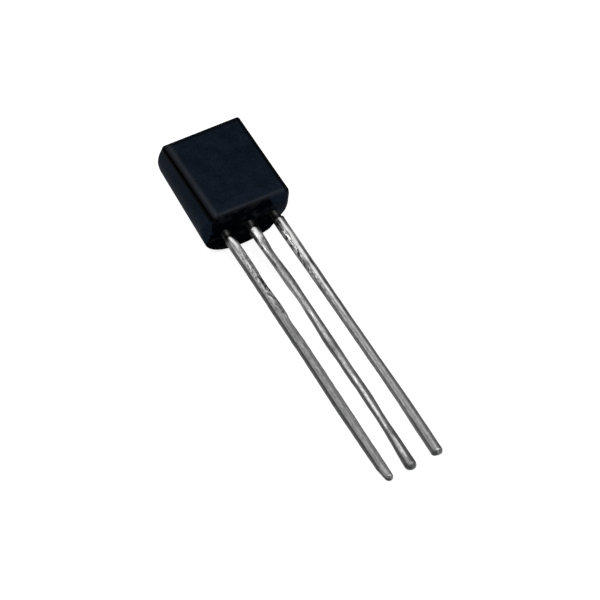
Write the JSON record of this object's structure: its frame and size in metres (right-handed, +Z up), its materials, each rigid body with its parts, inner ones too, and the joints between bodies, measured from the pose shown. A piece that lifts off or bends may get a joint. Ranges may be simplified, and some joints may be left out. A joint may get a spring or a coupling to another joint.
{
  "type": "to-92 transistor",
  "caption": "Small-signal transistor in a black moulded case with a flat front and a round back, and a row of straight solder-dipped leads from its lower end.",
  "frame": {"origin": "middle of the footprint, on the surface that the part lies on", "axes": "+Z up, out of the surface; +Y along the part from the lead tips to the body; X across the row of leads"},
  "size_m": [0.0044, 0.02, 0.0038],
  "materials": {
    "epoxy": "satin moulded black epoxy",
    "solder": "uneven hot-dipped solder",
    "silicon": "polished silicon",
    "gold_wire": "drawn gold"
  },
  "bodies": {
    "root": {"moulded_body": "epoxy", "emitter_lead": "solder", "collector_lead": "solder", "base_lead": "solder", "transistor_die": "silicon", "emitter_bond_wire": "gold_wire", "base_bond_wire": "gold_wire"}
  },
  "joints": []
}
